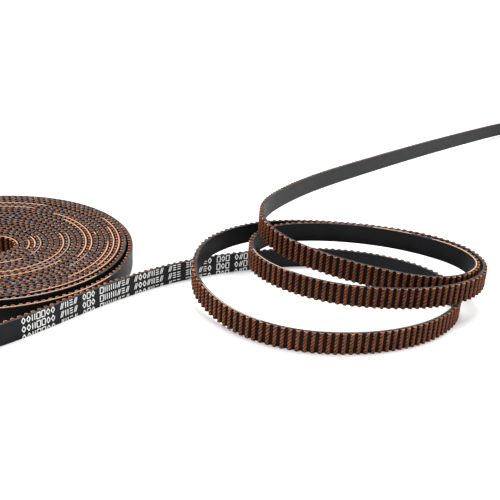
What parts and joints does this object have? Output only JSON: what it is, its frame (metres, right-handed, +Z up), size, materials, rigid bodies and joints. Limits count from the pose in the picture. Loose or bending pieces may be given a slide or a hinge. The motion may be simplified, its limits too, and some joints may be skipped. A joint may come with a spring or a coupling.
{
  "type": "timing belt",
  "caption": "Open-length toothed timing belt, 6 mm wide, stored as a flat coil whose outer end runs off in loose overlapping loops.",
  "frame": {"origin": "centre of the layout's footprint, on the surface that the belt's edge stands on", "axes": "+Z up, across the belt's width; +X along the layout's longest side; +Y away from the front of the layout"},
  "size_m": [0.2701, 0.2587, 0.019],
  "materials": {
    "backing": "black neoprene with a soft sheen",
    "tooth_rubber": "cut black neoprene, matt grey",
    "facing": "brown nylon twill over the teeth",
    "cord": "treated glass-fibre cord, orange",
    "ink": "white printing ink"
  },
  "bodies": {
    "root": {"coil_facing": "facing", "coil_teeth": "tooth_rubber", "coil_backing": "backing", "coil_cord_1": "cord", "coil_cord_2": "cord", "coil_cord_3": "cord", "coil_cord_4": "cord", "coil_cord_5": "cord", "coil_cord_6": "cord", "coil_cord_7": "cord", "coil_cord_8": "cord", "run_facing": "facing", "run_teeth": "tooth_rubber", "run_backing": "backing", "run_cord_1": "cord", "run_cord_2": "cord", "run_cord_3": "cord", "run_cord_4": "cord", "run_cord_5": "cord", "run_cord_6": "cord", "run_cord_7": "cord", "run_cord_8": "cord", "printed_marks": "ink"}
  },
  "joints": []
}
